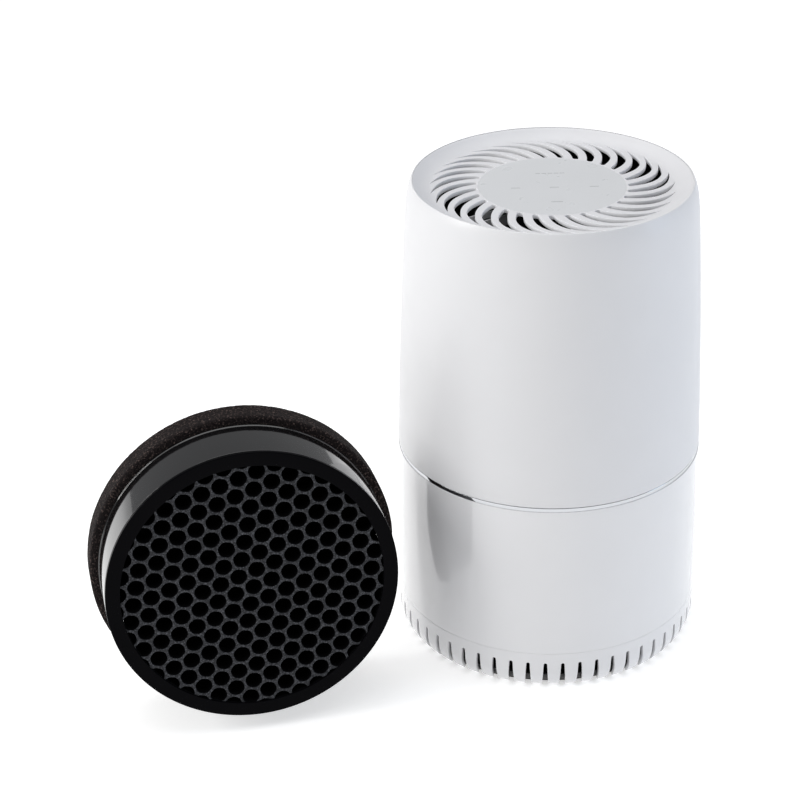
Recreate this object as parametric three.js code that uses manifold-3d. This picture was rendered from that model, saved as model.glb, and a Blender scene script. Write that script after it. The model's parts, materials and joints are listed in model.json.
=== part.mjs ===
// A round desktop air purifier with its filter cartridge taken out and stood beside it.
// Millimetres, +Z up. The origin is on the purifier's axis in the plane it stands on, and
// the front faces -Y. Room air enters the slots round the foot, rises through the filter
// chamber and the fan, and leaves through the grille in the top.

import * as THREE from 'three';
import { mergeVertices } from 'three/addons/utils/BufferGeometryUtils.js';
import Module from 'manifold-3d';

const wasm = await Module();
wasm.setup();

// ---- driving dimensions ----

const HEIGHT = 330;
const SEAM_Z = 142.5;
const BASE_JOINT_Z = 29;
const BELLY_RADIUS = 105;
const FOOT_RADIUS = 97;
const FOOT_ROUND = 15;
const TAPER = 10.6;
const SHOULDER = 2.9;
const SHOULDER_POWER = 50;
const WALL = 2.2;
const GAP = 0.3;

const FOOT_SLOTS = 56;
const FOOT_SLOT_START = 2.2;
const FOOT_SLOT_TOP = 21.2;
const CAGE_WINDOWS = 16;
const PLATE_RADIUS = 92;
const CAGE_RADIUS = 88;
const LEDGE_Z = 21.8;

const SEAT_Z = 106;
const FAN_RADIUS = 78;
const FAN_DUCT_RADIUS = 90;
const FAN_BLADES = 13;
const GUIDE_VANES = 11;

const GRILLE_Z = 324.3;
const GRILLE_DEPTH = 2.8;
const GRILLE_SLOTS = 31;
const GRILLE_SLOT_START = 9.8;
const GRILLE_FLAT_RADIUS = 80.8;
const PANEL_RADIUS = 47.6;
const DUCT_AZIMUTH = 212;

const KEY_AZIMUTHS = [30, 150, 270];
const QUARTERS = [45, 135, 225, 315];
const SCREW_CIRCLE = 94.6;
const INLET_Z = 163;
const SWITCH_AZIMUTH = 120;
const SWITCH_CIRCLE = 97.6;

const FILTER_RADIUS = 95;
const FILTER_DEPTH = 62.8;
const HOOP_DEPTH = 42;
const FOAM_RADIUS = 101.4;
const FACE_RADIUS = 85.4;
const FILTER_FRONT = { x: -198, y: -132.5 };
const FILTER_TURN = 12.2;
const FILTER_LEAN = 5;

const OUTER_SEGMENTS = 48;
const INNER_SEGMENTS = 26;

const rad = THREE.MathUtils.degToRad;

// ---- materials ----

const finish = (color, roughness, metalness = 0) => ({ color, roughness, metalness });
const GLOSS_WHITE = finish(0xe9e9ed, 0.2);
const SATIN_WHITE = finish(0xdedee2, 0.4);
const PANEL_GREY = finish(0xcdced2, 0.3);
const BRIGHT_TRIM = finish(0xd0d2d6, 0.12, 1);
const DARK_PLASTIC = finish(0x1c1c1f, 0.5);
const GLOSS_BLACK = finish(0x0c0c0e, 0.12);
const CARBON_BLACK = finish(0x17171a, 0.7);
const FOAM_BROWN = finish(0x241a15, 0.95);
const FILTER_PAPER = finish(0xe8e6df, 0.9);
const BOARD_GREEN = finish(0x1f5a34, 0.5);
const STEEL = finish(0xa9abad, 0.35, 1);
const MOTOR_STEEL = finish(0x7b7d80, 0.4, 1);
const RUBBER = finish(0x2a2a2c, 0.85);
const WIRE_RED = finish(0x8f2320, 0.5);
const WIRE_GREY = finish(0x55565a, 0.5);

// ---- solids ----

function shareVertices(geometry) {
  const bare = geometry.index ? geometry.toNonIndexed() : geometry.clone();
  bare.deleteAttribute('normal');
  bare.deleteAttribute('uv');
  const merged = mergeVertices(bare, 1e-4);
  const index = merged.index.array;
  const kept = [];
  for (let i = 0; i < index.length; i += 3) {
    const [a, b, c] = [index[i], index[i + 1], index[i + 2]];
    if (a !== b && b !== c && c !== a) kept.push(a, b, c);
  }
  merged.setIndex(kept);
  return merged;
}

function signedVolume(geometry) {
  const p = geometry.attributes.position;
  const index = geometry.index.array;
  const [a, b, c] = [new THREE.Vector3(), new THREE.Vector3(), new THREE.Vector3()];
  let volume = 0;
  for (let i = 0; i < index.length; i += 3) {
    a.fromBufferAttribute(p, index[i]);
    b.fromBufferAttribute(p, index[i + 1]);
    c.fromBufferAttribute(p, index[i + 2]);
    volume += a.dot(b.cross(c)) / 6;
  }
  return volume;
}

// A closed geometry as a manifold solid with its faces pointing out.
function solid(geometry) {
  const shared = shareVertices(geometry);
  const triVerts = new Uint32Array(shared.index.array);
  if (signedVolume(shared) < 0) {
    for (let i = 0; i < triVerts.length; i += 3) {
      [triVerts[i + 1], triVerts[i + 2]] = [triVerts[i + 2], triVerts[i + 1]];
    }
  }
  const vertProperties = new Float32Array(shared.attributes.position.array);
  return new wasm.Manifold(new wasm.Mesh({ numProp: 3, vertProperties, triVerts }));
}

function geometryOf(body) {
  const mesh = body.getMesh();
  const geometry = new THREE.BufferGeometry();
  geometry.setAttribute('position', new THREE.BufferAttribute(mesh.vertProperties, 3));
  geometry.setIndex(new THREE.BufferAttribute(mesh.triVerts, 1));
  return geometry;
}

const joined = (parts) => parts.reduce((all, part) => all.add(part));
const cutBy = (body, tools) => tools.reduce((left, tool) => left.subtract(tool), body);

// A solid of revolution about Z from [radius, z] pairs, closed on itself or on the axis.
function turned(pairs, segments = INNER_SEGMENTS, phase = 0) {
  const points = pairs.map(([r, z]) => new THREE.Vector2(r, z));
  const onAxis = pairs[0][0] === 0 && pairs[pairs.length - 1][0] === 0;
  if (!onAxis) points.push(points[0].clone());
  const geometry = new THREE.LatheGeometry(points, segments, phase);
  geometry.rotateX(Math.PI / 2);
  return solid(geometry);
}

function ring(inner, outer, z0, z1, segments) {
  return turned([[inner, z0], [outer, z0], [outer, z1], [inner, z1]], segments);
}

function disc(radius, z0, z1, segments) {
  return turned([[0, z0], [radius, z0], [radius, z1], [0, z1]], segments);
}

function placed(geometry, azimuth, radius, z) {
  geometry.translate(radius, 0, z);
  geometry.rotateZ(rad(azimuth));
  return solid(geometry);
}

// A block with its sides along the radius, the tangent and Z.
function block(radial, tangential, height, azimuth, radius, z) {
  return placed(new THREE.BoxGeometry(radial, tangential, height), azimuth, radius, z);
}

function post(r, z0, z1, azimuth, circle, segments = 10) {
  const geometry = new THREE.CylinderGeometry(r, r, z1 - z0, segments);
  geometry.rotateX(Math.PI / 2);
  return placed(geometry, azimuth, circle, (z0 + z1) / 2);
}

function prism(points, z0, z1) {
  const shape = new THREE.Shape(points.map(([x, y]) => new THREE.Vector2(x, y)));
  const geometry = new THREE.ExtrudeGeometry(shape, { depth: z1 - z0, bevelEnabled: false });
  geometry.translate(0, 0, z0);
  return geometry;
}

// A round lead along a smooth curve through the given points.
function lead(points, radius) {
  const path = new THREE.CatmullRomCurve3(points.map((p) => new THREE.Vector3(...p)));
  const section = new THREE.Shape().absarc(0, 0, radius, 0, 2 * Math.PI);
  const steps = Math.round(path.getLength() / (radius * 6));
  const options = { steps, extrudePath: path, curveSegments: 3, bevelEnabled: false };
  return solid(new THREE.ExtrudeGeometry(section, options));
}

// ---- the outer form ----

function bodyRadius(z) {
  if (z < FOOT_ROUND) {
    const drop = 1 - z / FOOT_ROUND;
    return FOOT_RADIUS + (BELLY_RADIUS - FOOT_RADIUS) * Math.sqrt(1 - drop * drop);
  }
  const up = (z - FOOT_ROUND) / (HEIGHT - FOOT_ROUND);
  return BELLY_RADIUS - TAPER * up ** 2 - SHOULDER * up ** SHOULDER_POWER;
}

const innerRadius = (z) => bodyRadius(z) - WALL;

function heights(z0, z1, steps) {
  return Array.from({ length: steps + 1 }, (_, i) => z0 + ((z1 - z0) * i) / steps);
}

function shellBetween(levels) {
  const outside = levels.map((z) => [bodyRadius(z), z]);
  const inside = levels.map((z) => [innerRadius(z), z]).reverse();
  return turned([...outside, ...inside], OUTER_SEGMENTS);
}

// ---- base ----

function footSlot(azimuth) {
  const bottomHalf = 2.2;
  const topHalf = 1.1;
  const outline = [[-1, -bottomHalf], [-1, bottomHalf], [FOOT_SLOT_TOP, topHalf],
    [FOOT_SLOT_TOP, -topHalf]];
  const geometry = prism(outline, 0, 20);
  geometry.rotateY(-Math.PI / 2);
  return placed(geometry, azimuth, 112, 0);
}

function baseCup() {
  const outside = [0, 4, FOOT_ROUND, BASE_JOINT_Z - GAP].map((z) => [bodyRadius(z), z]);
  const inner = innerRadius(LEDGE_Z);
  const cup = turned([
    ...outside,
    [inner, BASE_JOINT_Z - GAP],
    [inner, LEDGE_Z + 2.5],
    [CAGE_RADIUS + 0.4, LEDGE_Z + 2.5],
    [CAGE_RADIUS + 0.4, LEDGE_Z],
    [inner - 1, LEDGE_Z],
    [FOOT_RADIUS - 3, 0],
  ], FOOT_SLOTS, rad(FOOT_SLOT_START + 180 / FOOT_SLOTS));
  const slots = Array.from({ length: FOOT_SLOTS }, (_, i) =>
    footSlot(FOOT_SLOT_START + (i * 360) / FOOT_SLOTS));
  const retainers = KEY_AZIMUTHS.map((azimuth) =>
    block(6, 16, 1.4, azimuth + 60, inner - 2.6, BASE_JOINT_Z - GAP - 0.7));
  return joined([cutBy(cup, slots), ...retainers]);
}

function basePlate() {
  const plate = turned([[0, 0], [84, 0], [PLATE_RADIUS - 1, 1.5], [PLATE_RADIUS, 2.2],
    [PLATE_RADIUS, 3.4], [0, 3.4]]);
  const padPockets = QUARTERS.map((azimuth) => post(7.4, -1, 1.7, azimuth, 70));
  const screwHoles = QUARTERS.flatMap((azimuth) => [
    post(4.2, -1, 2.2, azimuth + 45, 78),
    post(1.9, 1, 5, azimuth + 45, 78),
  ]);
  return cutBy(plate, [...padPockets, ...screwHoles]);
}

function intakeCage() {
  const top = LEDGE_Z + 2.5 + GAP;
  const cage = turned([
    [72, 3.7], [CAGE_RADIUS, 3.7], [CAGE_RADIUS, top], [CAGE_RADIUS + 4.4, top],
    [CAGE_RADIUS + 4.4, top + 1.8], [CAGE_RADIUS - 2, top + 1.8], [CAGE_RADIUS - 2, 6.2], [72, 6.2],
  ], 2 * CAGE_WINDOWS);
  const windows = Array.from({ length: CAGE_WINDOWS }, (_, i) =>
    block(8, 12, 12, (i + 0.25) * (360 / CAGE_WINDOWS), CAGE_RADIUS, 14));
  const screwHoles = QUARTERS.map((azimuth) => post(1.9, 3, 8, azimuth + 45, 78));
  return cutBy(cage, [...windows, ...screwHoles]);
}

function screw(azimuth, circle, headZ, headHeight, tipZ, headRadius) {
  const up = Math.sign(tipZ - headZ);
  const head = post(headRadius, Math.min(headZ, headZ + up * headHeight),
    Math.max(headZ, headZ + up * headHeight), azimuth, circle);
  const shank = post(1.5, Math.min(headZ + up, tipZ), Math.max(headZ + up, tipZ), azimuth, circle);
  const drive = block(1, 4, 2, azimuth, circle, headZ);
  return joined([head, shank]).subtract(drive);
}

function lockRing() {
  const z0 = LEDGE_Z + 2.8;
  const outer = innerRadius(LEDGE_Z) - 0.4;
  const band = ring(CAGE_RADIUS + 6, outer, z0, z0 + 2.4, INNER_SEGMENTS);
  const keys = KEY_AZIMUTHS.map((azimuth) => block(2.4, 8, 11, azimuth, outer - 1.5, z0 + 5.5));
  const switchPost = block(5, 6, 5.6, SWITCH_AZIMUTH, SWITCH_CIRCLE, z0 + 2.9);
  return joined([band, ...keys, switchPost]);
}

// ---- housings ----

function lowerHousing() {
  const shell = shellBetween(heights(BASE_JOINT_Z, SEAM_Z - 3.2, 2));
  const ribs = KEY_AZIMUTHS.flatMap((azimuth) => [-4, 4].map((side) =>
    block(4, 2, 9, azimuth + side, innerRadius(34) - 0.9, 35)));
  const seatLedge = ring(SCREW_CIRCLE + 4.8, innerRadius(SEAT_Z) + 0.8, SEAT_Z - 3, SEAT_Z - GAP, OUTER_SEGMENTS);
  return joined([shell, ...ribs, seatLedge]);
}

function trimRing() {
  const outer = bodyRadius(SEAM_Z) - 0.25;
  return ring(outer - 5, outer, SEAM_Z - 2.9, SEAM_Z - 0.4, OUTER_SEGMENTS);
}

function upperHousing() {
  const levels = [SEAM_Z, 215, 275, 306, 320, 326, HEIGHT];
  const opening = block(20, 26.6, 16.6, 90, bodyRadius(INLET_Z), INLET_Z);
  return shellBetween(levels).subtract(opening);
}

function powerInlet() {
  const front = bodyRadius(INLET_Z) - 0.6;
  const depth = 9;
  const shell = block(depth, 26, 16, 90, front - depth / 2, INLET_Z);
  const pocket = block(depth, 14, 8, 90, front - depth / 2 + 1.5, INLET_Z);
  const pins = [-4.3, 4.3].map((side) => {
    const pin = new THREE.CylinderGeometry(1.15, 1.15, 6, 10);
    pin.translate(side, front - depth + 4.2, INLET_Z);
    return solid(pin);
  });
  return joined([shell.subtract(pocket), ...pins]);
}

// ---- fan unit ----

function filterSeat() {
  const outer = innerRadius(SEAT_Z + 3) - 0.5;
  const seat = turned([[62, SEAT_Z], [outer, SEAT_Z], [outer, SEAT_Z + 3], [64.4, SEAT_Z + 3],
    [64.4, SEAT_Z + 6], [62, SEAT_Z + 6]]);
  return cutBy(seat, QUARTERS.map((azimuth) => post(1.9, SEAT_Z - 1, SEAT_Z + 8, azimuth, SCREW_CIRCLE)));
}

function inletGuard() {
  const z0 = SEAT_Z + 0.4;
  const hoops = [14, 36].map((radius) => ring(radius, radius + 2, z0, z0 + 2.4, 20));
  const rim = ring(58.6, 60.8, z0, z0 + 2.4, 20);
  const spokes = heights(0, 300, 5).map((azimuth) =>
    block(46.5, 2, 2.4, azimuth, 37.5, z0 + 1.2));
  return joined([...hoops, rim, ...spokes]);
}

function fanHousing() {
  const z0 = SEAT_Z + 3 + GAP;
  const tube = turned([
    [FAN_DUCT_RADIUS - 2.2, z0], [SCREW_CIRCLE + 4.6, z0], [SCREW_CIRCLE + 4.6, z0 + 3],
    [FAN_DUCT_RADIUS, z0 + 3], [FAN_DUCT_RADIUS, 206], [FAN_DUCT_RADIUS - 2.2, 206],
  ]);
  return cutBy(tube, QUARTERS.map((azimuth) => post(1.9, z0 - 1, z0 + 5, azimuth, SCREW_CIRCLE)));
}

function bentBlade(innerR, outerR, sweep, thickness, z0, z1, azimuth) {
  const steps = 2;
  const side = (offset) => Array.from({ length: steps + 1 }, (_, i) => {
    const t = i / steps;
    const r = innerR + (outerR - innerR) * t;
    const a = rad(sweep * t * t) + offset / r;
    return [r * Math.cos(a), r * Math.sin(a)];
  });
  const geometry = prism([...side(0), ...side(thickness).reverse()], z0, z1);
  geometry.rotateZ(rad(azimuth));
  return solid(geometry);
}

function impeller() {
  const back = ring(3.1, FAN_RADIUS, 163, 165);
  const hub = turned([[3.1, 122], [9, 122], [9, 150], [20, 164], [3.1, 164]]);
  const shroud = turned([[66, 117], [FAN_RADIUS, 119], [FAN_RADIUS, 121], [66, 119]]);
  const blades = Array.from({ length: FAN_BLADES }, (_, i) =>
    bentBlade(52, FAN_RADIUS - 0.5, 14, 1.4, 118, 164, (i * 360) / FAN_BLADES));
  return joined([back, hub, ...blades, shroud]);
}

function hubNut() {
  return ring(3.3, 6, 115.5, 121.5, 6);
}

function motorMount() {
  const plate = ring(7, 38, 168, 171, INNER_SEGMENTS);
  const rim = ring(84.6, FAN_DUCT_RADIUS - 2.6, 168, 174);
  const arms = heights(0, 288, 4).map((azimuth) => block(49, 9, 3, azimuth, 61, 169.5));
  return joined([plate, rim, ...arms]);
}

function motorBody() {
  return turned([[3.2, 171.4], [30, 171.4], [32, 174], [32, 196], [29, 200], [0, 200], [0, 194],
    [3.2, 194]]);
}

function guideVanes() {
  const hub = ring(33.6, 36, 176, 204);
  const rim = ring(85.2, FAN_DUCT_RADIUS - 2.6, 176, 204);
  const vanes = Array.from({ length: GUIDE_VANES }, (_, i) =>
    bentBlade(35, 86, -24, 2, 180, 202, (i * 360) / GUIDE_VANES));
  return joined([hub, rim, ...vanes]);
}

// ---- electronics, laid out for the X axis and turned to the duct's azimuth ----

function boardTray() {
  const plate = block(2, 64, 74, DUCT_AZIMUTH, 86, 250);
  const lips = [-31, 31].map((side) => {
    const lip = new THREE.BoxGeometry(8, 2, 74);
    lip.translate(82, side, 250);
    lip.rotateZ(rad(DUCT_AZIMUTH));
    return solid(lip);
  });
  return joined([plate, ...lips]);
}

function mainBoard() {
  const place = (geometry, x, y, z) => {
    geometry.translate(x, y, z);
    geometry.rotateZ(rad(DUCT_AZIMUTH));
    return solid(geometry);
  };
  const capacitor = new THREE.CylinderGeometry(5, 5, 13, 16);
  capacitor.rotateZ(Math.PI / 2);
  return joined([
    place(new THREE.BoxGeometry(1.6, 56, 66), 83.6, 0, 250),
    place(new THREE.BoxGeometry(15, 20, 18), 75.6, 10, 232),
    place(new THREE.BoxGeometry(8, 12, 10), 79, -14, 272),
    place(capacitor, 76.5, -16, 234),
  ]);
}

function cableDuct() {
  const section = [[-6, 0], [6, 0], [6, 7], [4.6, 7], [4.6, 1.4], [-4.6, 1.4], [-4.6, 7], [-6, 7]];
  const geometry = prism(section, 36, 84);
  geometry.rotateX(Math.PI / 2);
  geometry.rotateZ(Math.PI / 2);
  geometry.rotateZ(rad(DUCT_AZIMUTH));
  geometry.translate(0, 0, 308.5);
  return solid(geometry);
}

function polar(azimuth, radius, z) {
  return [radius * Math.cos(rad(azimuth)), radius * Math.sin(rad(azimuth)), z];
}

function mainsLead() {
  const rise = heights(106, DUCT_AZIMUTH, 8).map((azimuth, i) => polar(azimuth, 94.6, 164 + i * 5));
  return lead([[-14, 95.2, INLET_Z], ...rise, polar(DUCT_AZIMUTH + 4, 90, 209),
    polar(DUCT_AZIMUTH + 6, 82.4, 210.4), polar(DUCT_AZIMUTH + 6, 80.8, 216.4)], 1.6);
}

function motorLead() {
  const route = [[14, 200.4], [16, 208], [40, 214], [62, 217.5], [81, 220]];
  return lead(route.map(([radius, z]) => polar(DUCT_AZIMUTH - radius / 10, radius, z)), 1.4);
}

function panelLead() {
  const route = [[82, 284], [82.4, 289.5], [88, 295], [90.5, 303], [90.3, 309], [86.5, 312.9],
    [80, 313], [60, 313], [38, 313], [29, 314.4], [24.4, 317.2]];
  return lead(route.map(([radius, z]) => polar(DUCT_AZIMUTH, radius, z)), 1.2);
}

// ---- top ----

// One crescent slot: two bowed sides from a round inner end to a shared outer tip.
function crescent(azimuth) {
  const tip = new THREE.Vector2(71.4, 35.4);
  const side = (from, towards) => {
    const bow = new THREE.QuadraticBezierCurve(
      new THREE.Vector2(...from), new THREE.Vector2(...towards), tip);
    return [0, 0.34, 0.68].map((t) => bow.getPoint(t).toArray());
  };
  const near = side([49.6, -2.3], [78.2, 3.8]);
  const far = side([50.1, 1.9], [71.8, 12]).reverse();
  const geometry = prism([[48.9, 0], ...near, tip.toArray(), ...far], 300, 340);
  geometry.rotateZ(rad(azimuth));
  return solid(geometry);
}

function topGrille() {
  const bottom = GRILLE_Z - GRILLE_DEPTH;
  const outer = innerRadius(HEIGHT - 1) - 0.5;
  const plate = turned([
    [40.4, GRILLE_Z - 5], [48.4, GRILLE_Z - 5], [48.8, bottom], [83, bottom], [84, GRILLE_Z - 2.4],
    [outer, GRILLE_Z + 0.6], [outer, HEIGHT - 0.6], [outer - 2, HEIGHT - 0.8],
    [GRILLE_FLAT_RADIUS, GRILLE_Z], [PANEL_RADIUS + 0.4, GRILLE_Z],
    [PANEL_RADIUS + 0.4, GRILLE_Z - 3.1], [40.4, GRILLE_Z - 3.1],
  ], OUTER_SEGMENTS);
  const slots = Array.from({ length: GRILLE_SLOTS }, (_, i) =>
    crescent(GRILLE_SLOT_START + (i * 360) / GRILLE_SLOTS));
  return cutBy(plate, slots);
}

function controlPanel() {
  return turned([[0, GRILLE_Z - 2.8], [PANEL_RADIUS, GRILLE_Z - 2.8], [PANEL_RADIUS, GRILLE_Z - 0.4],
    [PANEL_RADIUS - 0.6, GRILLE_Z + 0.1], [0, GRILLE_Z + 0.1]], 48);
}

function touchBoard() {
  const board = disc(39.8, GRILLE_Z - 4.8, GRILLE_Z - 3.2);
  return board.add(block(8, 10, 2.4, DUCT_AZIMUTH, 20, GRILLE_Z - 5.8));
}

// ---- interlock ----

function interlockSwitch() {
  const body = block(6, 12, 12, SWITCH_AZIMUTH, SWITCH_CIRCLE, 46);
  return body.subtract(post(1.6, 38, 49, SWITCH_AZIMUTH, SWITCH_CIRCLE, 12));
}

function interlockPlunger() {
  return post(1.25, LEDGE_Z + 8.8, 44.5, SWITCH_AZIMUTH, SWITCH_CIRCLE, 12);
}

// ---- filter, in its own frame: face at z = 0, depth towards -Z ----

function filterHoop() {
  const inner = FILTER_RADIUS - 2.4;
  return turned([
    [inner, -2.6], [FILTER_RADIUS, -2.6], [FILTER_RADIUS, 0.8 - HOOP_DEPTH],
    [FILTER_RADIUS + 1.6, -HOOP_DEPTH], [FILTER_RADIUS - 0.4, -HOOP_DEPTH - 0.9],
    [FILTER_RADIUS - 0.4, 1.4 - FILTER_DEPTH], [inner, 1.4 - FILTER_DEPTH],
  ], OUTER_SEGMENTS);
}

function faceRim() {
  return turned([[FACE_RADIUS, -2.3], [FILTER_RADIUS - 0.3, -2.3], [FILTER_RADIUS - 0.3, -0.8],
    [FILTER_RADIUS - 1.2, 0], [FACE_RADIUS, 0]], OUTER_SEGMENTS);
}

const honeycomb = () => disc(FILTER_RADIUS - 2.8, -15, -2.6, OUTER_SEGMENTS);
const filterPaper = () => disc(FILTER_RADIUS - 2.8, 4.6 - FILTER_DEPTH, -15.4, OUTER_SEGMENTS);

function backRing() {
  const z0 = 1.5 - FILTER_DEPTH;
  const rim = ring(84, FILTER_RADIUS - 2.8, z0, z0 + 2.8, OUTER_SEGMENTS);
  const spokes = [0, 90].map((azimuth) => block(2 * 85, 4, 2.8, azimuth, 0, z0 + 1.4));
  return joined([rim, ...spokes]);
}

const foamSeal = () => ring(FILTER_RADIUS, FOAM_RADIUS, -FILTER_DEPTH, -HOOP_DEPTH - 1.2, OUTER_SEGMENTS);

// ---- assembly ----

function piece(name, body, { color, roughness, metalness }) {
  const material = new THREE.MeshStandardMaterial({ color, roughness, metalness, flatShading: true });
  const mesh = new THREE.Mesh(geometryOf(body), material);
  mesh.name = name;
  return mesh;
}

function base() {
  const group = new THREE.Group();
  group.add(
    piece('base_cup', baseCup(), GLOSS_WHITE),
    piece('base_plate', basePlate(), DARK_PLASTIC),
    piece('intake_cage', intakeCage(), DARK_PLASTIC),
    piece('lock_ring', lockRing(), DARK_PLASTIC),
  );
  QUARTERS.forEach((azimuth, i) => {
    group.add(piece(`foot_pad_${i + 1}`, post(7, 0, 1.4, azimuth, 70), RUBBER));
    group.add(piece(`base_screw_${i + 1}`, screw(azimuth + 45, 78, 0.5, 1.4, 9, 3.4), STEEL));
  });
  return group;
}

function housing() {
  const group = new THREE.Group();
  group.add(
    piece('lower_housing', lowerHousing(), GLOSS_WHITE),
    piece('trim_ring', trimRing(), BRIGHT_TRIM),
    piece('upper_housing', upperHousing(), GLOSS_WHITE),
    piece('top_grille', topGrille(), SATIN_WHITE),
    piece('control_panel', controlPanel(), PANEL_GREY),
    piece('touch_board', touchBoard(), BOARD_GREEN),
    piece('power_inlet', powerInlet(), DARK_PLASTIC),
    piece('interlock_switch', interlockSwitch(), DARK_PLASTIC),
    piece('interlock_plunger', interlockPlunger(), WIRE_RED),
  );
  return group;
}

function fanUnit() {
  const group = new THREE.Group();
  const gasket = ring(80, 91, SEAT_Z - 3.2, SEAT_Z - GAP);
  const shaft = disc(2.7, 112.5, 193, 16);
  group.add(
    piece('filter_seat', filterSeat(), SATIN_WHITE),
    piece('seat_gasket', gasket, RUBBER),
    piece('inlet_guard', inletGuard(), DARK_PLASTIC),
    piece('fan_housing', fanHousing(), SATIN_WHITE),
    piece('impeller', impeller(), SATIN_WHITE),
    piece('motor_shaft', shaft, STEEL),
    piece('hub_nut', hubNut(), STEEL),
    piece('motor_mount', motorMount(), SATIN_WHITE),
    piece('motor_body', motorBody(), MOTOR_STEEL),
    piece('guide_vanes', guideVanes(), SATIN_WHITE),
    piece('board_tray', boardTray(), SATIN_WHITE),
    piece('main_board', mainBoard(), BOARD_GREEN),
    piece('cable_duct', cableDuct(), SATIN_WHITE),
    piece('mains_lead', mainsLead(), WIRE_GREY),
    piece('motor_lead', motorLead(), WIRE_RED),
    piece('panel_lead', panelLead(), WIRE_GREY),
  );
  QUARTERS.forEach((azimuth, i) => {
    const fixing = screw(azimuth, SCREW_CIRCLE, SEAT_Z - 2.4, 2.1, SEAT_Z + 10, 3.2);
    group.add(piece(`housing_screw_${i + 1}`, fixing, STEEL));
  });
  return group;
}

function filter() {
  const group = new THREE.Group();
  group.add(
    piece('filter_hoop', filterHoop(), GLOSS_BLACK),
    piece('face_rim', faceRim(), CARBON_BLACK),
    piece('carbon_honeycomb', honeycomb(), CARBON_BLACK),
    piece('filter_paper', filterPaper(), FILTER_PAPER),
    piece('filter_back_ring', backRing(), DARK_PLASTIC),
    piece('foam_seal', foamSeal(), FOAM_BROWN),
  );
  const across = new THREE.Vector3(Math.cos(rad(FILTER_TURN)), Math.sin(rad(FILTER_TURN)), 0);
  const level = new THREE.Vector3(Math.sin(rad(FILTER_TURN)), -Math.cos(rad(FILTER_TURN)), 0);
  const lean = rad(FILTER_LEAN);
  const outward = level.multiplyScalar(Math.cos(lean)).add(new THREE.Vector3(0, 0, Math.sin(lean)));
  const upward = new THREE.Vector3().crossVectors(outward, across);
  group.setRotationFromMatrix(new THREE.Matrix4().makeBasis(across, upward, outward));
  const faceHeight = FOAM_RADIUS * Math.cos(lean) + FILTER_DEPTH * Math.sin(lean);
  group.position.set(FILTER_FRONT.x, FILTER_FRONT.y, faceHeight);
  return group;
}

const airPurifier = new THREE.Group();
airPurifier.add(base(), housing(), fanUnit(), filter());

export default airPurifier;
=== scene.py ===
"""The looks of the round air purifier and its filter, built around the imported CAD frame."""

import json
import math

import bmesh
import bpy
from mathutils import Matrix, Vector, noise


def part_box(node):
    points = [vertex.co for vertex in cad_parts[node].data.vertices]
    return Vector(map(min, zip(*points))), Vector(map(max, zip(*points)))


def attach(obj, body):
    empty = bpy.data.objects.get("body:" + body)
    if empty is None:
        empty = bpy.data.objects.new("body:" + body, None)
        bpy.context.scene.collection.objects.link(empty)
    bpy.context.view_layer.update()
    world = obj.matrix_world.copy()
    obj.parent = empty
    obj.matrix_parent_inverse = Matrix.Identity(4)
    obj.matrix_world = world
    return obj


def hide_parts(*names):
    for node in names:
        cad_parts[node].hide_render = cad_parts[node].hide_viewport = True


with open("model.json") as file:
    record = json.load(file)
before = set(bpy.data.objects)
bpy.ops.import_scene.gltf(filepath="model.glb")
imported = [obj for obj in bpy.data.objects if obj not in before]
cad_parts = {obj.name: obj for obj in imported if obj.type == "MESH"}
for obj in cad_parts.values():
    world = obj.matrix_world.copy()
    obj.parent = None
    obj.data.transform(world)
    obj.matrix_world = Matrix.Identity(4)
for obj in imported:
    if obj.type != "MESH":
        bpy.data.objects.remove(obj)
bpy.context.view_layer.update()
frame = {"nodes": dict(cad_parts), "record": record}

MM = 0.001
TURN = 2 * math.pi


# ---- driving dimensions, in metres and radians, from the frame where it gives them ----

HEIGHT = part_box("upper_housing")[1].z
SEAM_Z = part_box("upper_housing")[0].z
BASE_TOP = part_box("base_cup")[1].z
LOWER_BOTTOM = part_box("lower_housing")[0].z
LOWER_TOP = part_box("lower_housing")[1].z
BELLY_RADIUS = 105 * MM
FOOT_RADIUS = 97 * MM
FOOT_ROUND = 15 * MM
TAPER = 10.6 * MM
SHOULDER = 2.9 * MM
WALL = 2.2 * MM
GAP = 0.3 * MM
LOCK_KEYS = (30, 150, 270)

FOOT_SLOTS = 56
FOOT_SLOT_TOP = 21.2 * MM
FOOT_SLOT_START = math.radians(2.2)

LIP = 0.8 * MM
GRILLE_Z = 324.3 * MM
GRILLE_DEPTH = 2.8 * MM
GRILLE_EDGE_Z = HEIGHT - 0.25 * MM
GRILLE_RISE_FROM = 78.5 * MM
GRILLE_SLOTS = 31
SLOT_PHASE = math.radians(9.8)
PANEL_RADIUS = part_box("control_panel")[1].x

# One grille slot, for the X axis, in millimetres: a rounded nose by the panel, and two curved sides,
# each from its start towards its pull point, that meet at the tip.
SLOT_FIRST = 48.9
SLOT_NOSE = 50.2
SLOT_TIP = Vector((71.4, 35.4))
SLOT_FAR_SIDE = (Vector((50.1, 1.9)), Vector((71.8, 12)))
SLOT_NEAR_SIDE = (Vector((49.6, -2.3)), Vector((78.2, 3.8)))

FILTER_RADIUS = 95 * MM
FILTER_DEPTH = 62.8 * MM
HOOP_DEPTH = 42 * MM
HOOP_WALL = 2.4 * MM
FOAM_RADIUS = 101.4 * MM
FACE_RADIUS = 85.4 * MM
FILTER_TURN = math.radians(12.2)
FILTER_LEAN = math.radians(5)
FILTER_FRONT = (-198 * MM, -132.5 * MM)

CAMERA_PLACE = (-0.10172, -1.20367, 0.82092)
CAMERA_PITCH = math.radians(28.445)
CAMERA_ROLL = math.radians(-1.286)
FLOOR_HALF = 12


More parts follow.
